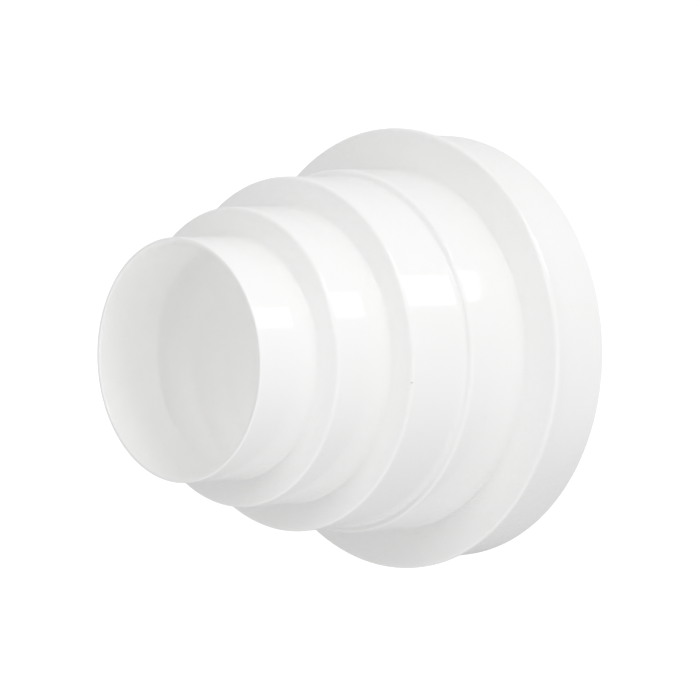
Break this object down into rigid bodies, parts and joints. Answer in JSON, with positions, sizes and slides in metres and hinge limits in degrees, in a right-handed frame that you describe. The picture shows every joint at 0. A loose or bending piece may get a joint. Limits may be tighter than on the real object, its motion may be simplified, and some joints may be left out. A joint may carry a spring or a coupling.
{
  "type": "duct reducer",
  "caption": "White plastic stepped duct reducer: a thin-walled round moulding whose five spigots narrow in flat shoulders from a wide one with a stop flange to a small nose.",
  "frame": {"origin": "centre of the large rim that the part stands on", "axes": "+Z along the airway, from the large rim up to the narrow nose"},
  "size_m": [0.1535, 0.1534, 0.1258],
  "materials": {
    "white_plastic": "glossy moulded"
  },
  "bodies": {
    "root": {"reducer": "white_plastic"}
  },
  "joints": []
}
